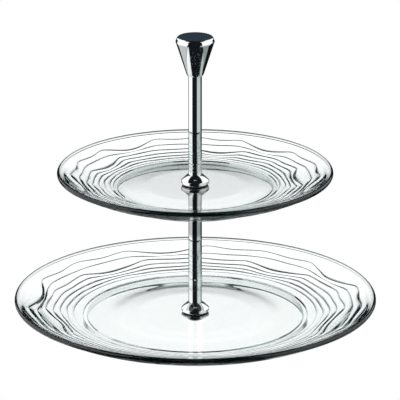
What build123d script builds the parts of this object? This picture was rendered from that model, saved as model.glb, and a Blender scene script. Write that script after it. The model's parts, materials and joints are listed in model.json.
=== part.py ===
from build123d import *
import math
import os

os.makedirs("parts", exist_ok=True)

# Two-tier cake stand: two pressed-glass plates clamped on a chromed rod, with a conical knob on top.
# Origin: centre of the lower plate's foot ring, on the table. +Z runs up the rod. Millimetres.

# Driving dimensions: glass plates
LOWER_PLATE_R = 140.0
LOWER_WELL_R = 92.4
LOWER_FOOT_R = 87.0
LOWER_DISH_R = 70.0
LOWER_WELL_TOP = 10.6
LOWER_RIM_TOP = 23.9
UPPER_PLATE_R = 105.8
UPPER_WELL_R = 63.6
UPPER_FOOT_R = 63.0
UPPER_DISH_R = 58.0
UPPER_WELL_TOP = 114.5
UPPER_RIM_TOP = 126.1
UPPER_FOOT_DROP = 9.6
WELL_THICKNESS = 4.6
BAND_THICKNESS = 5.6
RIM_THICKNESS = 4.0
RIM_START_SLOPE = 8.0
FOOT_WIDTH = 3.2
FOOT_LAND = 3.0
DISH_DEPTH = 0.7
DISH_BAND = 28.0
DISH_EASE = 9.0
PLATE_HOLE_R = 4.6

# Driving dimensions: chromed rod, collars and knob
ROD_R = 5.2
ROD_WALL = 0.9
COLLAR_R = 10.75
COLLAR_EDGE = 2.4
COLLAR_CONE = 5.0
COLLAR_FLOOR = 1.6
SOCKET_GAP = 0.05
GASKET_R = 10.1
GASKET_THICKNESS = 0.8
KNOB_BOTTOM = 201.2
KNOB_WIDEST = 227.2
KNOB_EDGE_TOP = 231.1
KNOB_CROWN = 231.9
KNOB_BOTTOM_R = 6.1
KNOB_NECK_R = 6.7
KNOB_NECK = 1.3
KNOB_R = 14.5
KNOB_TOP_R = 12.9
KNOB_SOCKET = 2.4

# Driving dimensions: threaded hardware, all on one 6 mm thread
THREAD_R = 3.0
THREAD_GAP = 0.05
BUSH_GAP = 0.06
INSERT_LENGTH = 14.0
WASHER_THICKNESS = 1.0
SCREW_HEAD_R = 6.6
SCREW_HEAD_HEIGHT = 2.8
SCREW_SLOT_WIDTH = 1.4
SCREW_SLOT_DEPTH = 1.1
SCREW_REACH = 12.0
STUD_REACH = 12.0
KNOB_STUD_UP = 12.0
KNOB_STUD_DOWN = 10.0
THREAD_POCKET_SPARE = 2.0

# Worked-out heights along the rod, from the table up
lower_well_under = LOWER_WELL_TOP - WELL_THICKNESS
lower_gasket_under = lower_well_under - GASKET_THICKNESS
washer_bottom = lower_gasket_under - WASHER_THICKNESS
lower_collar_seat = LOWER_WELL_TOP + GASKET_THICKNESS
lower_rod_bottom = lower_collar_seat + COLLAR_FLOOR
upper_well_under = UPPER_WELL_TOP - WELL_THICKNESS
support_collar_top = upper_well_under - GASKET_THICKNESS
lower_rod_top = support_collar_top - COLLAR_FLOOR
upper_collar_seat = UPPER_WELL_TOP + GASKET_THICKNESS
upper_rod_bottom = upper_collar_seat + COLLAR_FLOOR
upper_rod_top = KNOB_BOTTOM + KNOB_SOCKET
upper_foot_bottom = UPPER_WELL_TOP - UPPER_FOOT_DROP
rod_inner_r = ROD_R - ROD_WALL
thread_hole_r = THREAD_R + THREAD_GAP


def plate_outline(outer_r, well_r, foot_r, dish_r, well_top, rim_top, foot_bottom):
    """Close the half section of one plate: flat well, slightly dished below, foot ring, and a curved rim."""
    well_under = well_top - WELL_THICKNESS
    dish_under = well_under - DISH_DEPTH
    edge_r = RIM_THICKNESS / 2
    lip = (outer_r - edge_r, rim_top)
    lip_under = (outer_r - edge_r, rim_top - RIM_THICKNESS)
    middle_r = (well_r + outer_r) / 2
    chord_slope = math.degrees(math.atan2(rim_top - well_top, lip[0] - well_r))
    end_slope = 2 * chord_slope - RIM_START_SLOPE
    half_turn = math.radians(chord_slope - RIM_START_SLOPE)
    band_radius = math.hypot(rim_top - well_top, lip[0] - well_r) / (2 * math.sin(half_turn))
    band_sag = band_radius * (1 - math.cos(half_turn))
    middle_under = (middle_r, (well_top + rim_top) / 2 - band_sag - BAND_THICKNESS)
    foot_inner = foot_r - FOOT_WIDTH
    land_inner = foot_r - FOOT_LAND
    Line((PLATE_HOLE_R, well_under), (PLATE_HOLE_R, well_top))
    Line((PLATE_HOLE_R, well_top), (well_r, well_top))
    band = JernArc((well_r, well_top), (math.cos(math.radians(RIM_START_SLOPE)),
                                        math.sin(math.radians(RIM_START_SLOPE))),
                   band_radius, end_slope - RIM_START_SLOPE)
    ThreePointArc(band @ 1, (outer_r, rim_top - edge_r), lip_under)
    ThreePointArc(lip_under, middle_under, (well_r, well_under))
    Polyline((well_r, well_under), (foot_r, well_under), (foot_r, foot_bottom), (land_inner, foot_bottom),
             (foot_inner, dish_under), (dish_r, dish_under))
    Bezier((dish_r, dish_under), (dish_r - DISH_EASE, dish_under),
           (dish_r - DISH_BAND + DISH_EASE, well_under), (dish_r - DISH_BAND, well_under))
    Line((dish_r - DISH_BAND, well_under), (PLATE_HOLE_R, well_under))


# Pressed-glass plates

with BuildPart() as lower_plate:
    with BuildSketch(Plane.XZ):
        with BuildLine():
            plate_outline(LOWER_PLATE_R, LOWER_WELL_R, LOWER_FOOT_R, LOWER_DISH_R, LOWER_WELL_TOP,
                          LOWER_RIM_TOP, 0.0)
        make_face()
    revolve(axis=Axis.Z)

with BuildPart() as upper_plate:
    with BuildSketch(Plane.XZ):
        with BuildLine():
            plate_outline(UPPER_PLATE_R, UPPER_WELL_R, UPPER_FOOT_R, UPPER_DISH_R, UPPER_WELL_TOP,
                          UPPER_RIM_TOP, upper_foot_bottom)
        make_face()
    revolve(axis=Axis.Z)

# Clear soft washers above and below each plate, and a clear bush that centres each plate on its stud

seals = {}
for gasket_name, gasket_bottom in (
    ("lower_bottom_gasket", lower_gasket_under),
    ("lower_top_gasket", LOWER_WELL_TOP),
    ("upper_bottom_gasket", support_collar_top),
    ("upper_top_gasket", UPPER_WELL_TOP),
):
    with BuildPart() as gasket:
        with BuildSketch(Plane.XY.offset(gasket_bottom)):
            Circle(GASKET_R)
            Circle(PLATE_HOLE_R, mode=Mode.SUBTRACT)
        extrude(amount=GASKET_THICKNESS)
    seals[gasket_name] = gasket.part

for bush_name, bush_bottom in (("lower_hole_bush", lower_well_under), ("upper_hole_bush", upper_well_under)):
    with BuildPart() as hole_bush:
        with BuildSketch(Plane.XY.offset(bush_bottom)):
            Circle(PLATE_HOLE_R - BUSH_GAP)
            Circle(thread_hole_r, mode=Mode.SUBTRACT)
        extrude(amount=WELL_THICKNESS)
    seals[bush_name] = hole_bush.part

# Chromed collars: a thin flat edge against the gasket and a cone that closes on the rod


def collar_outline(seat_z, upward):
    """Close the half section of one collar, standing on seat_z and pointing up (1) or down (-1)."""
    socket_r = ROD_R + SOCKET_GAP
    Polyline((thread_hole_r, seat_z),
             (COLLAR_R, seat_z),
             (COLLAR_R, seat_z + upward * COLLAR_EDGE),
             (socket_r + SOCKET_GAP, seat_z + upward * (COLLAR_EDGE + COLLAR_CONE)),
             (socket_r, seat_z + upward * (COLLAR_EDGE + COLLAR_CONE)),
             (socket_r, seat_z + upward * COLLAR_FLOOR),
             (thread_hole_r, seat_z + upward * COLLAR_FLOOR),
             close=True)


collars = {}
for collar_name, seat, pointing in (
    ("lower_clamp_collar", lower_collar_seat, 1),
    ("upper_support_collar", support_collar_top, -1),
    ("upper_clamp_collar", upper_collar_seat, 1),
):
    with BuildPart() as collar:
        with BuildSketch(Plane.XZ):
            with BuildLine():
                collar_outline(seat, pointing)
            make_face()
        revolve(axis=Axis.Z)
    collars[collar_name] = collar.part

# Chromed tubes, each with a threaded brass insert pressed into both ends

rods = {}
inserts = {}
for rod_name, rod_bottom, rod_top in (
    ("lower_rod", lower_rod_bottom, lower_rod_top),
    ("upper_rod", upper_rod_bottom, upper_rod_top),
):
    with BuildPart() as rod:
        with BuildSketch(Plane.XY.offset(rod_bottom)):
            Circle(ROD_R)
            Circle(rod_inner_r, mode=Mode.SUBTRACT)
        extrude(amount=rod_top - rod_bottom)
    rods[rod_name] = rod.part
    for end_name, insert_bottom in (("bottom", rod_bottom), ("top", rod_top - INSERT_LENGTH)):
        with BuildPart() as insert:
            with BuildSketch(Plane.XY.offset(insert_bottom)):
                Circle(rod_inner_r)
                Circle(thread_hole_r, mode=Mode.SUBTRACT)
            extrude(amount=INSERT_LENGTH)
        inserts[rod_name + "_" + end_name + "_insert"] = insert.part

# Base washer and slotted base screw, in the recess inside the lower foot ring

with BuildPart() as base_washer:
    with BuildSketch(Plane.XY.offset(washer_bottom)):
        Circle(COLLAR_R)
        Circle(thread_hole_r, mode=Mode.SUBTRACT)
    extrude(amount=WASHER_THICKNESS)
    chamfer(base_washer.edges().filter_by(GeomType.CIRCLE).sort_by(SortBy.RADIUS)[-2:], 0.25)

with BuildPart() as base_screw:
    with BuildSketch(Plane.XY.offset(washer_bottom - SCREW_HEAD_HEIGHT)):
        Circle(SCREW_HEAD_R)
    extrude(amount=SCREW_HEAD_HEIGHT)
    fillet(base_screw.edges().group_by(Axis.Z)[0], 0.9)
    with BuildSketch(Plane.XY.offset(washer_bottom)):
        Circle(THREAD_R)
    extrude(amount=lower_rod_bottom + SCREW_REACH - washer_bottom)
    chamfer(base_screw.edges().group_by(Axis.Z)[-1], 0.6)
    with BuildSketch(Plane.XY.offset(washer_bottom - SCREW_HEAD_HEIGHT)):
        Rectangle(2 * SCREW_HEAD_R + 1, SCREW_SLOT_WIDTH)
    extrude(amount=SCREW_SLOT_DEPTH, mode=Mode.SUBTRACT)

# Threaded studs: one joins the two rods through the upper plate, one holds the knob

studs = {}
for stud_name, stud_bottom, stud_top in (
    ("coupling_stud", lower_rod_top - STUD_REACH, upper_rod_bottom + STUD_REACH),
    ("knob_stud", upper_rod_top - KNOB_STUD_DOWN, upper_rod_top + KNOB_STUD_UP),
):
    with BuildPart() as stud:
        with BuildSketch(Plane.XY.offset(stud_bottom)):
            Circle(THREAD_R)
        extrude(amount=stud_top - stud_bottom)
        chamfer(stud.edges().filter_by(GeomType.CIRCLE), 0.6)
    studs[stud_name] = stud.part

# Conical knob: rounded at the neck and the shoulder, slightly domed on top, with a socket for the rod

with BuildPart() as handle_knob:
    with BuildSketch(Plane.XZ):
        with BuildLine():
            socket_top = KNOB_BOTTOM + KNOB_SOCKET
            pocket_top = socket_top + KNOB_STUD_UP + THREAD_POCKET_SPARE
            Polyline((ROD_R + SOCKET_GAP, KNOB_BOTTOM),
                     (ROD_R + SOCKET_GAP, socket_top),
                     (thread_hole_r, socket_top),
                     (thread_hole_r, pocket_top),
                     (0, pocket_top),
                     (0, KNOB_CROWN))
            crown = ThreePointArc((0, KNOB_CROWN),
                                  (KNOB_TOP_R * 0.5, KNOB_CROWN - (KNOB_CROWN - KNOB_EDGE_TOP) * 0.25),
                                  (KNOB_TOP_R, KNOB_EDGE_TOP))
            TangentArc(crown @ 1, (KNOB_R, KNOB_WIDEST), tangent=crown % 1)
            Line((KNOB_R, KNOB_WIDEST), (KNOB_NECK_R, KNOB_BOTTOM + KNOB_NECK))
            Line((KNOB_NECK_R, KNOB_BOTTOM + KNOB_NECK), (KNOB_BOTTOM_R, KNOB_BOTTOM))
            Line((KNOB_BOTTOM_R, KNOB_BOTTOM), (ROD_R + SOCKET_GAP, KNOB_BOTTOM))
        make_face()
    revolve(axis=Axis.Z)

# Every finished piece, each written to its own file under its own name

pieces = {
    "lower_plate": lower_plate.part,
    "upper_plate": upper_plate.part,
    "base_washer": base_washer.part,
    "base_screw": base_screw.part,
    "handle_knob": handle_knob.part,
    **seals,
    **collars,
    **rods,
    **inserts,
    **studs,
}
for piece_name, piece in pieces.items():
    piece.label = piece_name
    export_step(piece, "parts/" + piece_name + ".step")
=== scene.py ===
"""Looks of a two-tier cake stand: pressed-glass plates with a rippled rim, clamped on a chromed rod.

Everything is in metres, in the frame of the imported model: the foot ring stands at z = 0
and +Z runs up the rod.
"""

import json
import logging
import math
from dataclasses import dataclass
from enum import Enum

import bpy
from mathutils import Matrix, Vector

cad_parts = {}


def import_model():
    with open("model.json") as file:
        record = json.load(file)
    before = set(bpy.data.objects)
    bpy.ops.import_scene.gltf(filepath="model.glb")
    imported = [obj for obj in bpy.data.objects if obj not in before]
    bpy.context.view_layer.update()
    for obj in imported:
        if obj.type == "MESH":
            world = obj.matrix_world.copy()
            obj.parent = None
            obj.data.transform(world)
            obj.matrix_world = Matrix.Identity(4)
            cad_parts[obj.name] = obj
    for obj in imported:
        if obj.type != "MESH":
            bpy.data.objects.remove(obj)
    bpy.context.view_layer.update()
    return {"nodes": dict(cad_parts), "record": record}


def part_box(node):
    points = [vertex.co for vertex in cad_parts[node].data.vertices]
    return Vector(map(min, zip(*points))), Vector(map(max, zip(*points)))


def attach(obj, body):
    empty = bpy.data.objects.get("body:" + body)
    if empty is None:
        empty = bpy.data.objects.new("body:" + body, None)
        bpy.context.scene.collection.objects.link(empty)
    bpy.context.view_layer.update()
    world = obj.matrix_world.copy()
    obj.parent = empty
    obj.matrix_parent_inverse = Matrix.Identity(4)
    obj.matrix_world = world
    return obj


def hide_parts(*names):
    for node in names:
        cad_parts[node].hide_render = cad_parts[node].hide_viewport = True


LOG = logging.getLogger("cake_stand")

MM = 0.001
FULL_TURN = 2 * math.pi
SKIN = 0.02 * MM
ARC_SUPPORT = 0.12
WHITE = (1.0, 1.0, 1.0, 1.0)
GLASS_BOUNCES = 32
MIRROR_BOUNCES = 16

Point = tuple[float, float]
Corner = tuple[float, float, float]
Facts = tuple[float, float, float, float]
Value = bpy.types.NodeSocket | float
Shade = bpy.types.NodeSocket | tuple[float, float, float, float]


class Slot(Enum):
    """The record's material slots."""

    GLASS = "glass"
    CHROME = "chrome"
    STEEL = "steel"
    BRASS = "brass"
    CLEAR_PLASTIC = "clear_plastic"


# ---------------------------------------------------------------- node trees


class Wiring:
    """Adds nodes to one tree and joins their sockets."""

    def __init__(self, tree: bpy.types.NodeTree) -> None:
        """Keep the tree that every later node goes into."""
        self.tree = tree

    def node(self, kind: str, **settings: object) -> bpy.types.Node:
        """Add a node.

        Args:
            kind: the node's type name.
            **settings: properties to set on it.

        Returns:
            The new node.
        """
        made = self.tree.nodes.new(kind)
        for key, value in settings.items():
            setattr(made, key, value)
        return made

    def join(self, source: object, target: bpy.types.NodeSocket) -> None:
        """Link a socket to the target, or set the target to a plain value."""
        if isinstance(source, bpy.types.NodeSocket):
            self.tree.links.new(source, target)
        else:
            target.default_value = source

    def math(self, operation: str, *values: Value) -> bpy.types.NodeSocket:
        """Work out one arithmetic step.

        Args:
            operation: the Math node's operation.
            *values: sockets or numbers, in order.

        Returns:
            The result's socket.
        """
        step = self.node("ShaderNodeMath", operation=operation)
        for value, socket in zip(values, step.inputs):
            self.join(value, socket)
        return step.outputs[0]

    def ramp(self, value: Value, start: Value, end: Value, low: Value = 0.0, high: Value = 1.0,
             smooth: bool = True) -> bpy.types.NodeSocket:
        """Map a value from start..end to low..high, held beyond both ends.

        Args:
            value: what is mapped.
            start: the value that gives low.
            end: the value that gives high.
            low: the result at start.
            high: the result at end.
            smooth: ease in and out in place of a straight ramp.

        Returns:
            The result's socket.
        """
        step = self.node("ShaderNodeMapRange", interpolation_type="SMOOTHSTEP" if smooth else "LINEAR")
        for socket, given in zip(step.inputs, (value, start, end, low, high)):
            self.join(given, socket)
        return step.outputs[0]

    def window(self, value: Value, low: float, high: float, soft: float) -> bpy.types.NodeSocket:
        """Give 1 between low and high and 0 outside, with edges as wide as twice soft."""
        rising = self.ramp(value, low - soft, low + soft)
        falling = self.ramp(value, high - soft, high + soft, 1.0, 0.0)
        return self.product(rising, falling)

    def split(self, vector: bpy.types.NodeSocket) -> tuple[bpy.types.NodeSocket, ...]:
        """Give the x, y and z of a vector."""
        step = self.node("ShaderNodeSeparateXYZ")
        self.join(vector, step.inputs[0])
        return tuple(step.outputs)

    def vector(self, x: Value, y: Value, z: Value) -> bpy.types.NodeSocket:
        """Make a vector of three values."""
        step = self.node("ShaderNodeCombineXYZ")
        for given, socket in zip((x, y, z), step.inputs):
            self.join(given, socket)
        return step.outputs[0]

    def colour(self, amount: Value, low: tuple[float, ...], high: tuple[float, ...]) -> bpy.types.NodeSocket:
        """Blend two colours.

        Args:
            amount: 0 for low, 1 for high.
            low: the first colour, as red, green and blue.
            high: the second colour.

        Returns:
            The blended colour's socket.
        """
        return self.mix(amount, (*low, 1.0), (*high, 1.0))

    def mix(self, amount: Value, low: Shade, high: Shade) -> bpy.types.NodeSocket:
        """Blend two colours, each a socket or red, green, blue and alpha."""
        step = self.node("ShaderNodeMix", data_type="RGBA")
        self.join(amount, step.inputs[0])
        self.join(low, step.inputs[6])
        self.join(high, step.inputs[7])
        return step.outputs[2]

    def reach(self, x: Value, y: Value) -> bpy.types.NodeSocket:
        """Give the distance of x, y from the axis."""
        squares = self.math("ADD", self.product(x, x), self.product(y, y))
        return self.math("SQRT", squares)

    def product(self, *values: Value) -> bpy.types.NodeSocket:
        """Multiply two or more values, from the first one on."""
        total = values[0]
        for value in values[1:]:
            total = self.math("MULTIPLY", total, value)
        return total

    def noise(self, place: bpy.types.NodeSocket, scale: float, detail: float = 2.0) -> bpy.types.NodeSocket:
        """Give noise from 0 to 1 at a place."""
        step = self.node("ShaderNodeTexNoise")
        self.join(place, step.inputs["Vector"])
        step.inputs["Scale"].default_value = scale
        step.inputs["Detail"].default_value = detail
        return step.outputs[0]


# ------------------------------------------------------------------ finishes


def surface(name: str) -> tuple[bpy.types.Material, Wiring, bpy.types.Node, bpy.types.NodeSocket]:
    """Start a material.

    Args:
        name: the material's name.

    Returns:
        The material, its wiring, its main shader and the object's own coordinates.
    """
    material = bpy.data.materials.new(name)
    material.use_nodes = True
    wiring = Wiring(material.node_tree)
    shader = material.node_tree.nodes["Principled BSDF"]
    place = wiring.node("ShaderNodeTexCoord").outputs["Object"]
    return material, wiring, shader, place


def roughen(wiring: Wiring, shader: bpy.types.Node, height: Value, depth: float, strength: float) -> None:
    """Bump a shader.

    Args:
        wiring: the material's wiring.
        shader: the shader that gets the bump.
        height: the bump's height, 0 to 1.
        depth: how far the bump stands up, in metres.
        strength: how much of it shows.
    """
    bump = wiring.node("ShaderNodeBump")
    bump.inputs["Strength"].default_value = strength
    bump.inputs["Distance"].default_value = depth
    wiring.join(height, bump.inputs["Height"])
    wiring.join(bump.outputs[0], shader.inputs["Normal"])


@dataclass(frozen=True)
class PressedGlass:
    """Clear pressed soda-lime glass: polished, faintly green in depth, with the mould's slight unevenness,
    and painted shade that darkens it in its pressed lines and round its rim edge.
    """

    name: str = "pressed_glass"
    tint: tuple[float, float, float] = (0.985, 1.0, 0.995)
    # Painted shade: the colour the glass takes in the bottom of its pressed lines.
    crease_painted_shade: tuple[float, float, float] = (0.50, 0.55, 0.55)
    # Painted shade: the near-black colour the glass takes round its rim edge.
    edge_painted_shade: tuple[float, float, float] = (0.015, 0.02, 0.022)
    depth_tint: tuple[float, float, float, float] = (0.20, 0.40, 0.37, 1.0)
    depth_density: float = 18.0
    refraction: float = 1.52
    polish_scale: float = 420.0
    roughness: tuple[float, float] = (0.0, 0.018)
    mould_scale: float = 85.0
    mould_depth: float = 0.05 * MM

    def make(self) -> bpy.types.Material:
        """Build the material; painted shade darkens its colour in the plate's pressed lines and round its rim
        edge, following the plate's own numbers.
        """
        material, wiring, shader, place = surface(self.name)
        crease_shade = wiring.node("ShaderNodeAttribute", attribute_name="crease_shade").outputs["Fac"]
        edge = wiring.node("ShaderNodeAttribute", attribute_name="edge").outputs["Fac"]
        # Painted shade: the glass colour darkens in the pressed lines and goes near black round the rim edge.
        crease_shaded = wiring.colour(crease_shade, self.tint, self.crease_painted_shade)
        wiring.join(wiring.mix(edge, crease_shaded, (*self.edge_painted_shade, 1.0)), shader.inputs["Base Color"])
        shader.inputs["Transmission Weight"].default_value = 1.0
        shader.inputs["IOR"].default_value = self.refraction
        polish = wiring.noise(place, self.polish_scale, 3.0)
        wiring.join(wiring.ramp(polish, 0.35, 0.8, *self.roughness), shader.inputs["Roughness"])
        roughen(wiring, shader, wiring.noise(place, self.mould_scale, 1.0), self.mould_depth, 0.25)
        depths = wiring.node("ShaderNodeVolumeAbsorption")
        depths.inputs["Color"].default_value = self.depth_tint
        depths.inputs["Density"].default_value = self.depth_density
        output = material.node_tree.nodes["Material Output"]
        wiring.join(depths.outputs[0], output.inputs["Volume"])
        return material


@dataclass(frozen=True)
class MirrorChrome:
    """Bright chrome plate: a mirror with the plating's faint waviness and wiping marks."""

    name: str = "mirror_chrome"
    metal: tuple[float, float, float] = (0.90, 0.92, 0.92)
    clouded: tuple[float, float, float] = (0.80, 0.83, 0.84)
    roughness: tuple[float, float] = (0.01, 0.022)
    cloud_scale: float = 60.0
    wipe_scale: float = 1500.0
    wipe_stretch: float = 0.06
    wave_scale: float = 130.0
    wave_depth: float = 0.02 * MM

    def make(self) -> bpy.types.Material:
        """Build the material."""
        material, wiring, shader, place = surface(self.name)
        cloud = wiring.noise(place, self.cloud_scale, 4.0)
        wiring.join(wiring.colour(wiring.ramp(cloud, 0.45, 0.75), self.metal, self.clouded),
                    shader.inputs["Base Color"])
        shader.inputs["Metallic"].default_value = 1.0
        x, y, z = wiring.split(place)
        streak = wiring.vector(x, y, wiring.product(z, self.wipe_stretch))
        wiped = wiring.noise(streak, self.wipe_scale, 3.0)
        wiring.join(wiring.ramp(wiped, 0.4, 0.75, *self.roughness), shader.inputs["Roughness"])
        roughen(wiring, shader, wiring.noise(place, self.wave_scale, 1.0), self.wave_depth, 0.08)
        return material


@dataclass(frozen=True)
class TurnedMetal:
    """A turned metal part: patches of a duller shade, and turning marks round its axis."""

    name: str
    bright: tuple[float, float, float]
    dull: tuple[float, float, float]
    roughness: tuple[float, float]
    patch_scale: float
    patch_detail: float
    patch_range: tuple[float, float]
    mark_scale: float
    mark_strength: float
    marked_faces: bool
    mark_depth: float = 0.01 * MM

    def make(self) -> bpy.types.Material:
        """Build the material."""
        material, wiring, shader, place = surface(self.name)
        patch = wiring.noise(place, self.patch_scale, self.patch_detail)
        wiring.join(wiring.colour(wiring.ramp(patch, *self.patch_range), self.bright, self.dull),
                    shader.inputs["Base Color"])
        shader.inputs["Metallic"].default_value = 1.0
        wiring.join(wiring.ramp(patch, 0.3, 0.7, *self.roughness), shader.inputs["Roughness"])
        x, y, z = wiring.split(place)
        ring = wiring.reach(x, y) if self.marked_faces else 0.0
        marks = wiring.noise(wiring.vector(ring, 0.0, z), self.mark_scale, 1.0)
        roughen(wiring, shader, marks, self.mark_depth, self.mark_strength)
        return material


@dataclass(frozen=True)
class SoftClearPlastic:
    """Soft clear plastic, a little milky, with the faint grain of its mould."""

    name: str = "soft_clear_plastic"
    clear: tuple[float, float, float] = (0.93, 0.96, 0.95)
    milky: tuple[float, float, float] = (0.82, 0.87, 0.86)
    roughness: tuple[float, float] = (0.12, 0.3)
    clearness: float = 0.85
    refraction: float = 1.45
    cloud_scale: float = 500.0
    grain_scale: float = 2500.0
    grain_depth: float = 0.01 * MM

    def make(self) -> bpy.types.Material:
        """Build the material."""
        material, wiring, shader, place = surface(self.name)
        cloud = wiring.noise(place, self.cloud_scale, 3.0)
        wiring.join(wiring.colour(wiring.ramp(cloud, 0.35, 0.7), self.clear, self.milky),
                    shader.inputs["Base Color"])
        shader.inputs["Transmission Weight"].default_value = self.clearness
        shader.inputs["IOR"].default_value = self.refraction
        wiring.join(wiring.ramp(cloud, 0.3, 0.7, *self.roughness), shader.inputs["Roughness"])
        roughen(wiring, shader, wiring.noise(place, self.grain_scale, 2.0), self.grain_depth, 0.3)
        return material


# -------------------------------------------------------------- turned forms


def rounded(corners: list[Corner], closed: bool, steps: int = 8) -> list[Point]:
    """Turn the corners of a half section into points, with an arc at each rounded corner.

    Args:
        corners: radius, height and rounding of each corner, in order.
        closed: whether the last corner joins the first.
        steps: pieces in each arc.

    Returns:
        The section's points, with a supporting point on each side of every arc.
    """
    points: list[Point] = []
    count = len(corners)
    for index, (radius, height, rounding) in enumerate(corners):
        here = Vector((radius, height))
        if rounding <= 0 or (not closed and index in (0, count - 1)):
            points.append((radius, height))
            continue
        before = Vector(corners[index - 1][:2]) - here
        after = Vector(corners[(index + 1) % count][:2]) - here
        half = before.angle(after) / 2
        reach = rounding / math.tan(half)
        before.normalize()
        after.normalize()
        centre = here + (before + after).normalized() * (rounding / math.sin(half))
        start = here + before * reach
        spoke = start - centre
        turn = (here + after * reach - centre).angle_signed(spoke)
        points.append(tuple(start + before * rounding * ARC_SUPPORT))
        for step in range(steps + 1):
            angle = turn * step / steps
            swung = Vector((spoke.x * math.cos(angle) - spoke.y * math.sin(angle),
                            spoke.x * math.sin(angle) + spoke.y * math.cos(angle)))
            points.append(tuple(centre + swung))
        points.append(tuple(here + after * (reach + rounding * ARC_SUPPORT)))
    return points


def turns_outwards(section: list[Point]) -> bool:
    """Tell whether a section runs the way round that makes its turned faces look outwards."""
    return sum(a[0] * b[1] - b[0] * a[1] for a, b in zip(section, section[1:] + section[:1])) > 0


def turned_mesh(name: str, section: list[Point], closed: bool, segments: int) -> bpy.types.Mesh:
    """Turn a half section round Z into a closed mesh with its faces outwards.

    Args:
        name: the mesh's name.
        section: radius and height of each point; an open section starts and ends on the axis.
        closed: whether the last point joins the first.
        segments: steps in the full turn.

    Returns:
        The smooth-shaded mesh.
    """
    ring = section if turns_outwards(section) else section[::-1]
    vertices: list[tuple[float, float, float]] = []
    rows: list[list[int]] = []
    for radius, height in ring:
        first = len(vertices)
        if radius < SKIN / 100:
            vertices.append((0.0, 0.0, height))
            rows.append([first] * segments)
            continue
        for step in range(segments):
            angle = FULL_TURN * step / segments
            vertices.append((radius * math.cos(angle), radius * math.sin(angle), height))
        rows.append(list(range(first, first + segments)))
    pairs = list(zip(rows, rows[1:]))
    if closed:
        pairs.append((rows[-1], rows[0]))
    faces: list[tuple[int, ...]] = []
    for lower, upper in pairs:
        for step in range(segments):
            following = (step + 1) % segments
            loop = (lower[step], lower[following], upper[following], upper[step])
            face = tuple(dict.fromkeys(loop))
            if len(face) > 2:
                faces.append(face)
    mesh = bpy.data.meshes.new(name)
    mesh.from_pydata(vertices, [], faces)
    mesh.shade_smooth()
    mesh.validate()
    return mesh


def dress(mesh: bpy.types.Mesh, material: bpy.types.Material, body: str,
          nodes: tuple[str, ...]) -> bpy.types.Object:
    """Make an object of a mesh, finish it, and let it ride in place of its CAD nodes.

    Args:
        mesh: the finished shape, in place.
        material: its finish.
        body: the body that it moves with.
        nodes: the CAD nodes that it stands for.

    Returns:
        The finished piece.
    """
    piece = bpy.data.objects.new(mesh.name, mesh)
    bpy.context.scene.collection.objects.link(piece)
    if not mesh.materials:
        mesh.materials.append(material)
    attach(piece, body)
    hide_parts(*nodes)
    LOG.info("%s: %d faces, on %s", piece.name, len(mesh.polygons), body)
    return piece


# -------------------------------------------------------------------- plates


@dataclass(frozen=True)
class RimPattern:
    """How the mould's contour lines lie across the rim band, in shares of its width from the well outwards.

    The pattern repeats round the plate. In each repeat the lines swing inwards round an outer bay
    and an inner one.
    """

    repeats: float = 5.0
    first_line: float = 0.04
    line_pitch: float = 0.105
    pitch_growth: float = 0.0045
    last_line: float = 6.95
    outer_bay_line: float = 6.0
    outer_bay_root: float = 4.2
    outer_bay_swing: float = 0.23
    inner_bay_line: float = 4.0
    inner_bay_root: float = 0.9
    inner_bay_swing: float = 0.21
    inner_bay_turn: float = math.radians(25.0)
    bay_reach: float = 0.215
    scallop_share: float = 0.34
    peak_softness: float = 0.24
    wander: float = 0.05
    wander_scale: float = 2.6
    still_inside: tuple[float, float] = (-0.01, 0.14)
    still_outside: tuple[float, float] = (0.86, 1.0)
    bay_deepening: float = 7.0
    depth_shares: tuple[float, float] = (0.4, 1.6)
    seed: float = 3.7

    def place(self, line: float) -> float:
        """Give the place of a line, or of a point between two lines, across the band."""
        return self.first_line + self.line_pitch * line + self.pitch_growth * line * line


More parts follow.
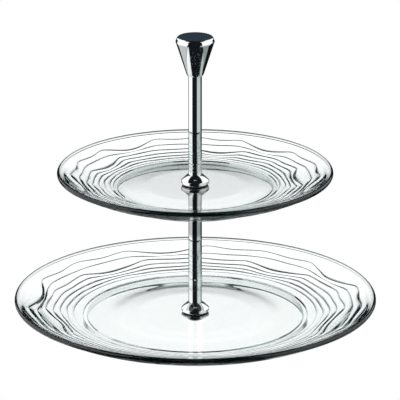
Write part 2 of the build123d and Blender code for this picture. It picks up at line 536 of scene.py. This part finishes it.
class ReliefTree:
    """The geometry nodes that press the contour lines into the underside of a plate's rim."""

    def __init__(self, pattern: RimPattern) -> None:
        """Build the node group.

        Args:
            pattern: where the lines lie.
        """
        self.pattern = pattern
        self.group = bpy.data.node_groups.new("pressed_rim_relief", "GeometryNodeTree")
        self.wiring = Wiring(self.group)
        self.inputs: dict[str, str] = {}
        self._build()

    def _socket(self, name: str, kind: str, value: object = None) -> None:
        """Add a named input and keep its identifier."""
        made = self.group.interface.new_socket(name, in_out="INPUT", socket_type=kind)
        if value is not None:
            made.default_value = value
        self.inputs[name] = made.identifier

    def _festoon(self, angle: bpy.types.NodeSocket, offset: Value) -> bpy.types.NodeSocket:
        """Work out how far the lines swing at an angle: a deep bay with a small scallop on each side."""
        w = self.wiring
        turns = w.math("DIVIDE", w.math("SUBTRACT", angle, offset), FULL_TURN / self.pattern.repeats)
        share = w.math("ABSOLUTE", w.math("SUBTRACT", w.math("FRACT", w.math("ADD", turns, 0.5)), 0.5))
        reach = self.pattern.bay_reach
        bay = w.math("COSINE", w.product(share, math.pi / 2 / reach))
        along = w.math("DIVIDE", w.math("SUBTRACT", share, reach), 0.5 - reach)
        arch = w.math("SINE", w.product(along, math.pi))
        scallop = w.product(arch, self.pattern.scallop_share)
        outside = w.math("GREATER_THAN", share, reach)
        kept_bay = w.product(bay, w.math("SUBTRACT", 1.0, outside))
        sharp = w.math("ADD", kept_bay, w.product(scallop, outside))
        softness = self.pattern.peak_softness
        squares = w.math("ADD", w.product(sharp, sharp), softness * softness)
        return w.math("SUBTRACT", w.math("SQRT", squares), softness)

    def _build(self) -> None:
        """Wire the whole tree."""
        w, pattern = self.wiring, self.pattern
        self._socket("Geometry", "NodeSocketGeometry")
        for name in ("Well Radius", "Band Width", "Well Height", "Band Rise", "Start Share", "Well Thickness",
                     "Edge Thickness", "Band Swell", "Relief Depth", "Pattern Turn", "Line Crowding"):
            self._socket(name, "NodeSocketFloat", 0.0)
        self._socket("Glass", "NodeSocketMaterial")
        self.group.interface.new_socket("Geometry", in_out="OUTPUT", socket_type="NodeSocketGeometry")
        given = w.node("NodeGroupInput").outputs

        x, y, z = w.split(w.node("GeometryNodeInputPosition").outputs[0])
        angle = w.math("ARCTAN2", y, x)
        across = self._attribute("line_place")
        outer = w.product(self._festoon(angle, given["Pattern Turn"]), pattern.outer_bay_swing)
        turned = w.math("ADD", given["Pattern Turn"], pattern.inner_bay_turn)
        inner = w.product(self._festoon(angle, turned), pattern.inner_bay_swing)
        outer_share = self._swing_share(across, pattern.outer_bay_root, pattern.outer_bay_line)
        inner_share = self._swing_share(across, pattern.inner_bay_root, pattern.inner_bay_line)
        swing = w.math("ADD", w.product(outer, outer_share), w.product(inner, inner_share))
        seat = w.vector(w.math("COSINE", angle), w.math("SINE", angle), w.math("ADD", across, pattern.seed))
        drift = w.math("SUBTRACT", w.noise(seat, pattern.wander_scale, 1.0), 0.5)
        margin = w.product(w.ramp(across, *pattern.still_inside),
                           w.ramp(across, *pattern.still_outside, 1.0, 0.0))
        drift = w.product(drift, pattern.wander * 2, margin)
        placed = w.math("ADD", w.math("SUBTRACT", across, swing), drift)
        crowded = w.ramp(across, 0.5, 1.0, w.math("SUBTRACT", 1.0, given["Line Crowding"]), 1.0)
        share = w.product(placed, crowded)

        radius = w.math("ADD", given["Well Radius"], w.product(share, given["Band Width"]))
        held = w.math("MINIMUM", w.math("MAXIMUM", share, 0.0), 1.0)
        curved = w.product(held, held, w.math("SUBTRACT", 1.0, given["Start Share"]))
        rise = w.math("ADD", w.product(held, given["Start Share"]), curved)
        top = w.math("ADD", given["Well Height"], w.product(rise, given["Band Rise"]))
        swell = w.product(w.math("SINE", w.product(held, math.pi)), given["Band Swell"])
        thick = w.ramp(held, 0.0, 1.0, given["Well Thickness"], given["Edge Thickness"], smooth=False)
        under = w.math("SUBTRACT", w.math("SUBTRACT", top, thick), swell)
        deeper = w.math("ADD", w.product(swing, pattern.bay_deepening), 1.0)
        deeper = w.product(deeper, w.ramp(across, 0.0, 1.0, *pattern.depth_shares, smooth=False))
        cut = w.product(self._attribute("cut"), given["Relief Depth"], deeper)
        moved = w.vector(w.product(radius, w.math("COSINE", angle)),
                         w.product(radius, w.math("SINE", angle)), w.math("ADD", under, cut))

        setter = w.node("GeometryNodeSetPosition")
        w.join(given["Geometry"], setter.inputs["Geometry"])
        w.join(w.math("GREATER_THAN", self._attribute("pressed"), 0.5), setter.inputs["Selection"])
        w.join(moved, setter.inputs["Position"])
        real = w.node("GeometryNodeRealizeInstances")
        w.join(setter.outputs[0], real.inputs[0])
        finish = w.node("GeometryNodeSetMaterial")
        w.join(real.outputs[0], finish.inputs["Geometry"])
        w.join(given["Glass"], finish.inputs["Material"])
        result = w.node("NodeGroupOutput")
        w.join(finish.outputs[0], result.inputs["Geometry"])

    def _attribute(self, name: str) -> bpy.types.NodeSocket:
        """Read one of the plate's own per-vertex numbers."""
        reader = self.wiring.node("GeometryNodeInputNamedAttribute", data_type="FLOAT")
        reader.inputs["Name"].default_value = name
        return reader.outputs["Attribute"]

    def _swing_share(self, across: Value, root: float, line: float) -> bpy.types.NodeSocket:
        """Give each place's share of a bay's swing: none at the root, all at its line, none at the next."""
        w, pattern = self.wiring, self.pattern
        rising = w.ramp(across, pattern.place(root), pattern.place(line), smooth=False)
        falling = w.ramp(across, pattern.place(line), pattern.place(line + 1), 1.0, 0.0)
        return w.product(rising, falling)

    def press(self, mesh: bpy.types.Mesh, settings: dict[str, object]) -> bpy.types.Mesh:
        """Run the tree on a plate.

        Args:
            mesh: the plain plate.
            settings: the value of each named input.

        Returns:
            The pressed plate as a plain mesh.
        """
        blank = bpy.data.objects.new(mesh.name + "_blank", mesh)
        bpy.context.scene.collection.objects.link(blank)
        modifier = blank.modifiers.new("relief", "NODES")
        modifier.node_group = self.group
        for name, value in settings.items():
            modifier[self.inputs[name]] = value
        graph = bpy.context.evaluated_depsgraph_get()
        pressed = bpy.data.meshes.new_from_object(blank.evaluated_get(graph), preserve_all_data_layers=True,
                                                  depsgraph=graph)
        name = mesh.name
        blank.modifiers.remove(modifier)
        bpy.data.objects.remove(blank)
        bpy.data.meshes.remove(mesh)
        pressed.name = name
        return pressed


@dataclass(frozen=True)
class Dish:
    """The shallow dish in the underside of a well: a gentle slope outwards with one steeper ring in it."""

    start: float
    end: float
    gentle: float
    steep: float
    steep_radius: float
    steep_reach: float

    def slope(self, radius: float) -> float:
        """Give the slope at a radius, as an angle."""
        inside = (radius - self.start) / (self.end - self.start)
        gentle = self.gentle * min(1.0, inside / 0.2, (1 - inside) / 0.25)
        return gentle + self.steep * math.exp(-((radius - self.steep_radius) / self.steep_reach) ** 2)

    def rows(self, steps: int = 24) -> list[Point]:
        """List radius and depth below the middle of the underside, from the start outwards."""
        pitch = (self.end - self.start) / steps
        rows, depth = [(self.start, 0.0)], 0.0
        for step in range(steps):
            depth += math.tan(self.slope(self.start + pitch * (step + 0.5))) * pitch
            rows.append((self.start + pitch * (step + 1), depth))
        return rows


@dataclass
class GlassPlate:
    """One pressed-glass plate: a well dished below, a foot ring, and a rim with lines pressed in below."""

    name: str
    node: str
    body: str
    well_radius: float
    well_top: float
    foot_radius: float
    dish: Dish
    pattern_turn: float
    line_crowding: float
    rim_round: float = 1.95 * MM
    well_thickness: float = 4.6 * MM
    band_swell: float = 1.6 * MM
    hole_radius: float = 4.6 * MM
    foot_width: float = 3.2 * MM
    foot_land: float = 3.2 * MM
    start_slope: float = math.tan(math.radians(8.0))
    foot_edge: float = 0.15 * MM
    lip: float = 0.25 * MM
    relief_depth: float = 0.42 * MM
    line_reach: float = 0.45
    # How deep into a cut the painted shade in the pressed lines begins.
    crease_shade_start: float = 0.6
    band_steps: int = 18
    edge_steps: int = 12
    segments: int = 480

    def __post_init__(self) -> None:
        """Take the outer sizes from the frame."""
        low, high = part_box(self.node)
        self.outer_radius = high.x - SKIN
        self.rim_top = high.z
        self.foot_bottom = low.z
        self.band_width = self.outer_radius - self.rim_round - self.well_radius
        self.band_rise = self.rim_top - self.well_top
        self.start_share = self.start_slope * self.band_width / self.band_rise

    def band_top(self, share: float) -> float:
        """Give the height of the rim's upper face at a share of the band's width."""
        rise = self.start_share * share + (1 - self.start_share) * share * share
        return self.well_top + self.band_rise * rise

    def groove(self, inside: float) -> float:
        """Give the cut between two lines: a sharp line, a soft swell, then a long slope to the next."""
        if inside < self.line_reach:
            return 0.2 * math.exp(-inside / 0.03) + 0.8 * (1 - inside / self.line_reach) ** 2
        return ((inside - self.line_reach) / (1 - self.line_reach)) ** 1.5

    def underside_rows(self, pattern: RimPattern) -> list[Point]:
        """List the rows of the pressed underside, from the rim to the well.

        Args:
            pattern: where the contour lines lie.

        Returns:
            Each row's place across the band and its cut, 1 in the bottom of a line and 0 on a crest.
        """
        rows = [(pattern.place(-step), (1 - step / self.line_reach) ** 2)
                for step in (self.line_reach, 0.3, 0.18, 0.09, 0.04, 0.015)]
        steps = (0.0, 0.015, 0.035, 0.06, 0.1, 0.15, 0.22, 0.3, 0.4, 0.52, 0.66, 0.8, 0.92, 0.98)
        for line in range(math.ceil(pattern.last_line)):
            for inside in steps:
                place = pattern.place(line + inside)
                if line + inside < pattern.last_line:
                    fade = min(1.0, max(0.0, (1.0 - place) / 0.06))
                    rows.append((place, self.groove(inside) * fade))
        return rows[::-1]

    def section(self, pattern: RimPattern) -> tuple[list[Point], list[Facts]]:
        """Lay out the closed half section.

        Args:
            pattern: where the contour lines lie.

        Returns:
            Its points, and for each its line place, pressed flag, cut and share of the painted dark shade on
            the rim edge.
        """
        plain = (0.0, 0.0, 0.0, 0.0)
        under = self.well_top - self.well_thickness
        points: list[Point] = []
        facts: list[Facts] = []

        def add(radius: float, height: float, fact: Facts = plain) -> None:
            """Add one point of the section."""
            points.append((radius, height))
            facts.append(fact)

        add(self.hole_radius, under + self.lip)
        add(self.hole_radius, self.well_top - self.lip)
        add(self.hole_radius + self.lip, self.well_top)
        for share in (0.01, 0.03, 0.1, 0.3, 0.6, 0.9, 0.98, 0.995):
            add(self.hole_radius + (self.well_radius - self.hole_radius) * share, self.well_top)
        # The fourth number marks painted shade: the rim edge's glass colour is darkened towards black there.
        for step in range(self.band_steps + 1):
            share = step / self.band_steps
            add(self.well_radius + self.band_width * share, self.band_top(share),
                (0.0, 0.0, 0.0, 0.6 if step == self.band_steps else 0.0))
        slope = math.atan(self.band_rise / self.band_width * (2 - self.start_share))
        centre = (self.well_radius + self.band_width, self.rim_top - self.rim_round)
        # Painted shade: most steps of the rounded rim edge get the darkest glass colour.
        for step in range(1, self.edge_steps + 1):
            angle = math.pi / 2 + slope * 0.5 - (math.pi + slope * 0.5) * step / self.edge_steps
            add(centre[0] + self.rim_round * math.cos(angle), centre[1] + self.rim_round * math.sin(angle),
                (0.0, 0.0, 0.0, 1.0 if step <= 8 else max(0.0, (10 - step) / 2)))
        for place, cut in self.underside_rows(pattern):
            height = self.band_top(max(place, 0.0)) - self.well_thickness
            add(self.well_radius + self.band_width * place, height, (place, 1.0, cut, 0.0))
        foot_outer = self.foot_radius
        land_inner = foot_outer - self.foot_land
        foot_inner = foot_outer - self.foot_width
        dish = self.dish.rows()
        dished = under - dish[-1][1]
        foot = [
            (foot_outer + self.lip, under, 0.0),
            (foot_outer, under, 0.1 * MM),
            (foot_outer, self.foot_bottom, self.foot_edge),
            (land_inner, self.foot_bottom, self.foot_edge),
            (foot_inner, dished, 0.1 * MM),
            (dish[-1][0], dished, 0.0),
        ]
        for radius, height in rounded(foot, closed=False, steps=2)[:-1]:
            add(radius, height)
        for radius, depth in reversed(dish):
            add(radius, under - depth)
        for share in (0.5, 0.15, 0.04, 0.01, 0.0):
            add(self.hole_radius + self.lip + (self.dish.start - self.hole_radius - self.lip) * share, under)
        return points, facts

    def build(self, relief: ReliefTree, glass: bpy.types.Material) -> bpy.types.Object:
        """Turn the plate, press its rim and finish it.

        Args:
            relief: the node tree that presses the rim.
            glass: the finish.

        Returns:
            The finished plate.
        """
        points, facts = self.section(relief.pattern)
        mesh = turned_mesh(self.name, points, closed=True, segments=self.segments)
        ordered = facts if turns_outwards(points) else facts[::-1]
        # The last number, edge, carries the painted shade on the rim edge.
        for index, name in enumerate(("line_place", "pressed", "cut", "edge")):
            layer = mesh.attributes.new(name, "FLOAT", "POINT")
            values = [fact[index] for fact in ordered for _ in range(self.segments)]
            layer.data.foreach_set("value", values)
        # This number carries painted shade: the deepest part of each cut in the pressed lines darkens the
        # glass.
        crease_shade = mesh.attributes.new("crease_shade", "FLOAT", "POINT")
        depths = [max(0.0, fact[2] - self.crease_shade_start) / (1 - self.crease_shade_start) for fact in ordered]
        crease_shade.data.foreach_set("value", [depth for depth in depths for _ in range(self.segments)])
        pressed = relief.press(mesh, {
            "Well Radius": self.well_radius,
            "Band Width": self.band_width,
            "Well Height": self.well_top,
            "Band Rise": self.band_rise,
            "Start Share": self.start_share,
            "Well Thickness": self.well_thickness,
            "Edge Thickness": 2 * self.rim_round,
            "Band Swell": self.band_swell,
            "Relief Depth": self.relief_depth,
            "Pattern Turn": self.pattern_turn,
            "Line Crowding": self.line_crowding,
            "Glass": glass,
        })
        pressed.shade_smooth()
        return dress(pressed, glass, self.body, (self.node,))


# --------------------------------------------------------- stem, knob, fixings


@dataclass
class TurnedPiece:
    """A plain turned piece in place of one CAD node, given by the corners of its half section."""

    name: str
    node: str
    body: str
    slot: Slot
    corners: list[Corner]
    closed: bool = True
    segments: int = 192

    def build(self, material: bpy.types.Material) -> bpy.types.Object:
        """Turn the piece and finish it."""
        section = rounded(self.corners, self.closed)
        mesh = turned_mesh(self.name, section, self.closed, self.segments)
        return dress(mesh, material, self.body, (self.node,))


@dataclass(frozen=True)
class StemSizes:
    """Sizes shared by the chromed stem and its fixings."""

    bore: float = 3.06 * MM
    tube_wall: float = 0.9 * MM
    collar_edge: float = 2.4 * MM
    collar_floor: float = 1.6 * MM
    socket_gap: float = 0.05 * MM
    gasket_bore: float = 4.6 * MM
    tube_edge: float = 0.15 * MM
    knob_pocket: float = 14.0 * MM
    neck_foot: float = 6.2 * MM
    neck_top: float = 6.85 * MM
    neck_height: float = 1.3 * MM
    knob_shoulder: float = 26.6 * MM


class Stem:
    """The chromed stem and its soft fixings: tubes, collars, knob, washer, gaskets and bushes."""

    def __init__(self, sizes: StemSizes) -> None:
        """Keep the shared sizes."""
        self.sizes = sizes

    def tube(self, name: str, node: str, body: str) -> TurnedPiece:
        """Shape a rod tube with lightly broken edges."""
        low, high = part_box(node)
        outer, inner = high.x, high.x - self.sizes.tube_wall
        edge = self.sizes.tube_edge
        corners = [(inner, low.z, 0.0), (outer, low.z, edge), (outer, high.z, edge), (inner, high.z, 0.0)]
        return TurnedPiece(name, node, body, Slot.CHROME, corners)

    def collar(self, name: str, node: str, body: str, upward: bool) -> TurnedPiece:
        """Shape a collar: a thin rounded edge on the gasket and a cone that closes on the rod."""
        low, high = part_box(node)
        seat, tip = (low.z, high.z) if upward else (high.z, low.z)
        way = 1.0 if upward else -1.0
        sizes = self.sizes
        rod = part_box("lower_rod")[1].x + sizes.socket_gap
        outer = high.x
        corners = [
            (sizes.bore, seat, 0.0),
            (outer, seat, 0.5 * MM),
            (outer, seat + way * sizes.collar_edge, 0.6 * MM),
            (rod + 0.15 * MM, tip, 0.0),
            (rod, tip, 0.0),
            (rod, seat + way * sizes.collar_floor, 0.0),
            (sizes.bore, seat + way * sizes.collar_floor, 0.0),
        ]
        return TurnedPiece(name, node, body, Slot.CHROME, corners)

    def knob(self) -> TurnedPiece:
        """Shape the knob: a rounded neck, a straight cone, a rounded shoulder and a slightly domed top."""
        sizes = self.sizes
        low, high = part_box("handle_knob")
        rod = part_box("upper_rod")[1]
        socket = rod.x + sizes.socket_gap
        pocket = rod.z + sizes.knob_pocket
        crown = high.z
        corners = [
            (0.0, pocket, 0.0),
            (sizes.bore, pocket, 0.0),
            (sizes.bore, rod.z, 0.0),
            (socket, rod.z, 0.0),
            (socket, low.z, 0.0),
            (sizes.neck_foot, low.z, 0.3 * MM),
            (sizes.neck_top, low.z + sizes.neck_height, 1.2 * MM),
            (high.x + 0.05 * MM, low.z + sizes.knob_shoulder, 1.8 * MM),
            (high.x - 1.25 * MM, crown - 0.5 * MM, 1.9 * MM),
            (0.0, crown, 0.0),
        ]
        return TurnedPiece("knob_cone", "handle_knob", "knob", Slot.CHROME, corners, closed=False,
                           segments=256)

    def gasket(self, name: str, node: str, body: str) -> TurnedPiece:
        """Shape a soft washer with bulging edges."""
        corners = self._ring(node, self.sizes.gasket_bore, 0.3 * MM)
        return TurnedPiece(name, node, body, Slot.CLEAR_PLASTIC, corners, segments=128)

    def bush(self, name: str, node: str, body: str) -> TurnedPiece:
        """Shape the bush that centres a plate on its stud."""
        corners = self._ring(node, self.sizes.bore, 0.25 * MM)
        return TurnedPiece(name, node, body, Slot.CLEAR_PLASTIC, corners, segments=96)

    def _ring(self, node: str, bore: float, edge: float) -> list[Corner]:
        """Give the corners of a plain ring as large as a CAD node, with rounded edges."""
        low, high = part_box(node)
        return [(bore, low.z, edge), (high.x, low.z, edge), (high.x, high.z, edge), (bore, high.z, edge)]

    def washer(self) -> TurnedPiece:
        """Shape the base washer."""
        low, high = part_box("base_washer")
        bore = self.sizes.bore
        corners = [(bore, low.z, 0.1 * MM), (high.x, low.z, 0.3 * MM), (high.x, high.z, 0.2 * MM),
                   (bore, high.z, 0.1 * MM)]
        return TurnedPiece("base_washer_disc", "base_washer", "washer", Slot.CHROME, corners)


# --------------------------------------------------------------------- studio


@dataclass(frozen=True)
class Studio:
    """Plain pale floor and plain soft light: white panels at both sides, white below the horizon, dark above.

    The floor mirrors a little dimmer in a ring round the stand, where only the lower rod mirrors it.
    """

    white: float = 1.15
    through_glass: float = 1.43
    grey: tuple[float, float, float] = (0.56, 0.62, 0.60)
    dark: tuple[float, float, float] = (0.004, 0.005, 0.006)
    slate: tuple[float, float, float] = (0.026, 0.038, 0.052)
    floor_half: float = 40.0
    dim_ring: tuple[float, float] = (0.215, 0.37)
    dim_share: float = 0.5
    panel_soft: float = math.radians(2.5)
    lamp_size: float = 1.6
    lamp_power: float = 18.0
    lamp_height: float = 1.8

    def panels(self) -> bpy.types.NodeTree:
        """Build the group that gives the light that a mirror sees in a direction."""
        group = bpy.data.node_groups.new("studio_panels", "ShaderNodeTree")
        group.interface.new_socket("Direction", in_out="INPUT", socket_type="NodeSocketVector")
        group.interface.new_socket("Light", in_out="OUTPUT", socket_type="NodeSocketColor")
        w = Wiring(group)
        unit = w.node("ShaderNodeVectorMath", operation="NORMALIZE")
        w.join(w.node("NodeGroupInput").outputs[0], unit.inputs[0])
        x, y, z = w.split(unit.outputs[0])
        bearing = w.math("ARCTAN2", x, w.product(y, -1.0))
        turn = math.radians
        side = w.math("ABSOLUTE", bearing)
        raised = w.ramp(z, 0.0, 0.12)
        low = w.math("SUBTRACT", 1.0, raised)
        high = w.product(raised, w.ramp(z, 0.80, 0.86, 1.0, 0.0))
        soft = self.panel_soft
        left = w.product(w.window(bearing, turn(-128), turn(-50), soft), low)
        steep = w.ramp(z, -0.60, -0.48, 1.0, 0.0)
        gentle = w.math("SUBTRACT", 1.0, steep)
        beside = w.product(w.window(bearing, turn(31), turn(101), soft), gentle)
        beneath = w.product(w.window(bearing, turn(66), turn(130), soft), steep)
        right = w.product(w.math("ADD", beside, beneath), low)
        both = w.product(w.window(side, turn(44), turn(152), turn(3)), high)
        behind = w.product(w.ramp(side, turn(160), turn(166)), w.window(z, -0.48, -0.07, 0.03))
        above = w.product(w.ramp(side, turn(120), turn(150)), w.window(z, 0.1, 0.62, 0.06))
        brightest = w.math("MAXIMUM", w.math("MAXIMUM", left, both), behind)
        bright = w.product(brightest, self.white)
        total = w.vector(bright, bright, bright)
        for amount, shade in ((right, self.grey), (above, self.slate)):
            step = w.node("ShaderNodeVectorMath", operation="ADD")
            w.join(total, step.inputs[0])
            w.join(w.colour(amount, self.dark, shade), step.inputs[1])
            total = step.outputs[0]
        w.join(total, w.node("NodeGroupOutput").inputs[0])
        return group

    def world(self, panels: bpy.types.NodeTree) -> None:
        """Light the scene: white to the eye, white through glass below the horizon, panels on metal.

        Args:
            panels: the group that a mirror sees.
        """
        world = bpy.data.worlds.new("studio")
        world.use_nodes = True
        bpy.context.scene.world = world
        w = Wiring(world.node_tree)
        direction = w.node("ShaderNodeTexCoord").outputs["Generated"]
        group = w.node("ShaderNodeGroup", node_tree=panels)
        w.join(direction, group.inputs[0])
        path = w.node("ShaderNodeLightPath")
        below = w.ramp(w.split(direction)[2], -0.34, -0.10, self.through_glass, 0.0, smooth=False)
        unmirrored = w.math("LESS_THAN", path.outputs["Glossy Depth"], 0.5)
        refracted = w.product(path.outputs["Is Transmission Ray"], unmirrored)
        through = w.mix(refracted, group.outputs[0], w.vector(below, below, below))
        seen = w.mix(path.outputs["Is Camera Ray"], through, WHITE)
        w.join(seen, world.node_tree.nodes["Background"].inputs["Color"])

    def floor(self, panels: bpy.types.NodeTree) -> None:
        """Lay the floor.

        Args:
            panels: the group whose panels it mirrors on the chrome.
        """
        half = self.floor_half
        mesh = bpy.data.meshes.new("studio_floor")
        corners = [(-half, -half, 0), (half, -half, 0), (half, half, 0), (-half, half, 0)]
        mesh.from_pydata(corners, [], [(0, 1, 2, 3)])
        floor = bpy.data.objects.new("studio_floor", mesh)
        bpy.context.scene.collection.objects.link(floor)
        floor.visible_transmission = False
        material = bpy.data.materials.new("studio_white")
        material.use_nodes = True
        tree = material.node_tree
        tree.nodes.remove(tree.nodes["Principled BSDF"])
        w = Wiring(tree)
        x, y, _ = w.split(w.node("ShaderNodeTexCoord").outputs["Object"])
        far = w.reach(x, y)
        group = w.node("ShaderNodeGroup", node_tree=panels)
        w.join(w.vector(x, y, w.product(far, -0.4)), group.inputs[0])
        shaded = w.node("ShaderNodeVectorMath", operation="SCALE")
        w.join(group.outputs[0], shaded.inputs[0])
        ring = w.window(far, *self.dim_ring, 0.008)
        w.join(w.math("SUBTRACT", 1.0, w.product(ring, 1 - self.dim_share)), shaded.inputs["Scale"])
        mirrored = w.node("ShaderNodeLightPath").outputs["Is Glossy Ray"]
        glow = w.node("ShaderNodeEmission")
        w.join(w.mix(mirrored, WHITE, shaded.outputs[0]), glow.inputs["Color"])
        w.join(glow.outputs[0], tree.nodes["Material Output"].inputs["Surface"])
        mesh.materials.append(material)

    def lamp(self) -> None:
        """Hang one broad soft lamp overhead, out of sight of the mirrors."""
        data = bpy.data.lights.new("overhead_softbox", "AREA")
        data.shape = "DISK"
        data.size = self.lamp_size
        data.energy = self.lamp_power
        lamp = bpy.data.objects.new("overhead_softbox", data)
        lamp.location = (0.0, 0.0, self.lamp_height)
        lamp.visible_glossy = False
        lamp.visible_transmission = False
        bpy.context.scene.collection.objects.link(lamp)


@dataclass(frozen=True)
class StandCamera:
    """The camera: a long lens in front of the stand, looking slightly down."""

    lens: float = 305.47
    distance: float = 2.6
    elevation: float = math.radians(17.997)
    pivot_height: float = 0.120
    aim: tuple[float, float, float] = (0.0037, 0.0, 0.1013)
    sensor: float = 36.0
    near_and_far: tuple[float, float] = (0.05, 100.0)

    def place(self) -> bpy.types.Object:
        """Make the camera and give it to the scene."""
        data = bpy.data.cameras.new("stand_camera")
        data.lens = self.lens
        data.sensor_width = self.sensor
        data.clip_start, data.clip_end = self.near_and_far
        camera = bpy.data.objects.new("stand_camera", data)
        camera.location = (0.0, -self.distance * math.cos(self.elevation),
                           self.pivot_height + self.distance * math.sin(self.elevation))
        camera.rotation_euler = (Vector(self.aim) - camera.location).to_track_quat("-Z", "Y").to_euler()
        bpy.context.scene.collection.objects.link(camera)
        bpy.context.scene.camera = camera
        return camera


# ----------------------------------------------------------------------- main


def light_settings() -> None:
    """Show colours as they are, and let light cross many glass faces."""
    scene = bpy.context.scene
    scene.view_settings.view_transform = "Standard"
    scene.view_settings.look = "None"
    scene.cycles.max_bounces = GLASS_BOUNCES
    scene.cycles.transmission_bounces = GLASS_BOUNCES
    scene.cycles.glossy_bounces = MIRROR_BOUNCES


def main() -> None:
    """Build the stand's pieces in order, light them and place the camera."""
    logging.basicConfig(level=logging.INFO, format="%(name)s %(message)s")
    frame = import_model()

    light_settings()
    StandCamera().place()
    studio = Studio()
    panels = studio.panels()
    studio.world(panels)
    studio.floor(panels)
    studio.lamp()

    glass = PressedGlass().make()
    chrome = MirrorChrome().make()
    steel = TurnedMetal("plated_steel", bright=(0.66, 0.67, 0.69), dull=(0.46, 0.47, 0.49),
                        roughness=(0.22, 0.4), patch_scale=300.0, patch_detail=4.0, patch_range=(0.3, 0.7),
                        mark_scale=6000.0, mark_strength=0.35, marked_faces=True).make()
    brass = TurnedMetal("turned_brass", bright=(0.80, 0.62, 0.30), dull=(0.52, 0.37, 0.17),
                        roughness=(0.18, 0.36), patch_scale=260.0, patch_detail=5.0, patch_range=(0.35, 0.75),
                        mark_scale=5000.0, mark_strength=0.4, marked_faces=False).make()
    plastic = SoftClearPlastic().make()

    relief = ReliefTree(RimPattern())
    lower_dish = Dish(start=41.0 * MM, end=74.0 * MM, gentle=math.radians(1.1), steep=math.radians(1.65),
                      steep_radius=62.0 * MM, steep_reach=4.0 * MM)
    upper_dish = Dish(start=35.0 * MM, end=59.5 * MM, gentle=math.radians(1.3), steep=math.radians(1.0),
                      steep_radius=53.5 * MM, steep_reach=2.8 * MM)
    plates = (
        GlassPlate("lower_glass_plate", "lower_plate", "base", well_radius=92.4 * MM, well_top=10.6 * MM,
                   foot_radius=87.0 * MM, dish=lower_dish, pattern_turn=math.radians(29.0),
                   line_crowding=0.0),
        GlassPlate("upper_glass_plate", "upper_plate", "upper_tier", well_radius=63.6 * MM,
                   well_top=114.5 * MM, foot_radius=62.9 * MM, dish=upper_dish,
                   pattern_turn=math.radians(52.5), line_crowding=0.05),
    )
    for plate in plates:
        plate.build(relief, glass)

    stem = Stem(StemSizes())
    for piece in (
        stem.tube("lower_stem_tube", "lower_rod", "stem"),
        stem.tube("upper_stem_tube", "upper_rod", "upper_stem"),
        stem.collar("lower_clamp_cone", "lower_clamp_collar", "stem", upward=True),
        stem.collar("upper_support_cone", "upper_support_collar", "stem", upward=False),
        stem.collar("upper_clamp_cone", "upper_clamp_collar", "upper_clamp", upward=True),
        stem.knob(),
        stem.washer(),
    ):
        piece.build(chrome)
    for piece in (
        stem.gasket("lower_bottom_seal", "lower_bottom_gasket", "base"),
        stem.gasket("lower_top_seal", "lower_top_gasket", "base"),
        stem.gasket("upper_bottom_seal", "upper_bottom_gasket", "stem"),
        stem.gasket("upper_top_seal", "upper_top_gasket", "upper_clamp"),
        stem.bush("lower_centring_bush", "lower_hole_bush", "base"),
        stem.bush("upper_centring_bush", "upper_hole_bush", "upper_tier"),
    ):
        piece.build(plastic)
    finishes = {Slot.STEEL: steel, Slot.BRASS: brass}
    for entry in frame["record"]["subparts"]:
        slot = Slot(entry["material_slot"])
        if slot in finishes:
            frame["nodes"][entry["node"]].data.materials.clear()
            frame["nodes"][entry["node"]].data.materials.append(finishes[slot])
            LOG.info("%s: CAD shape, %s", entry["node"], slot.value)


if __name__ == "__main__":
    main()
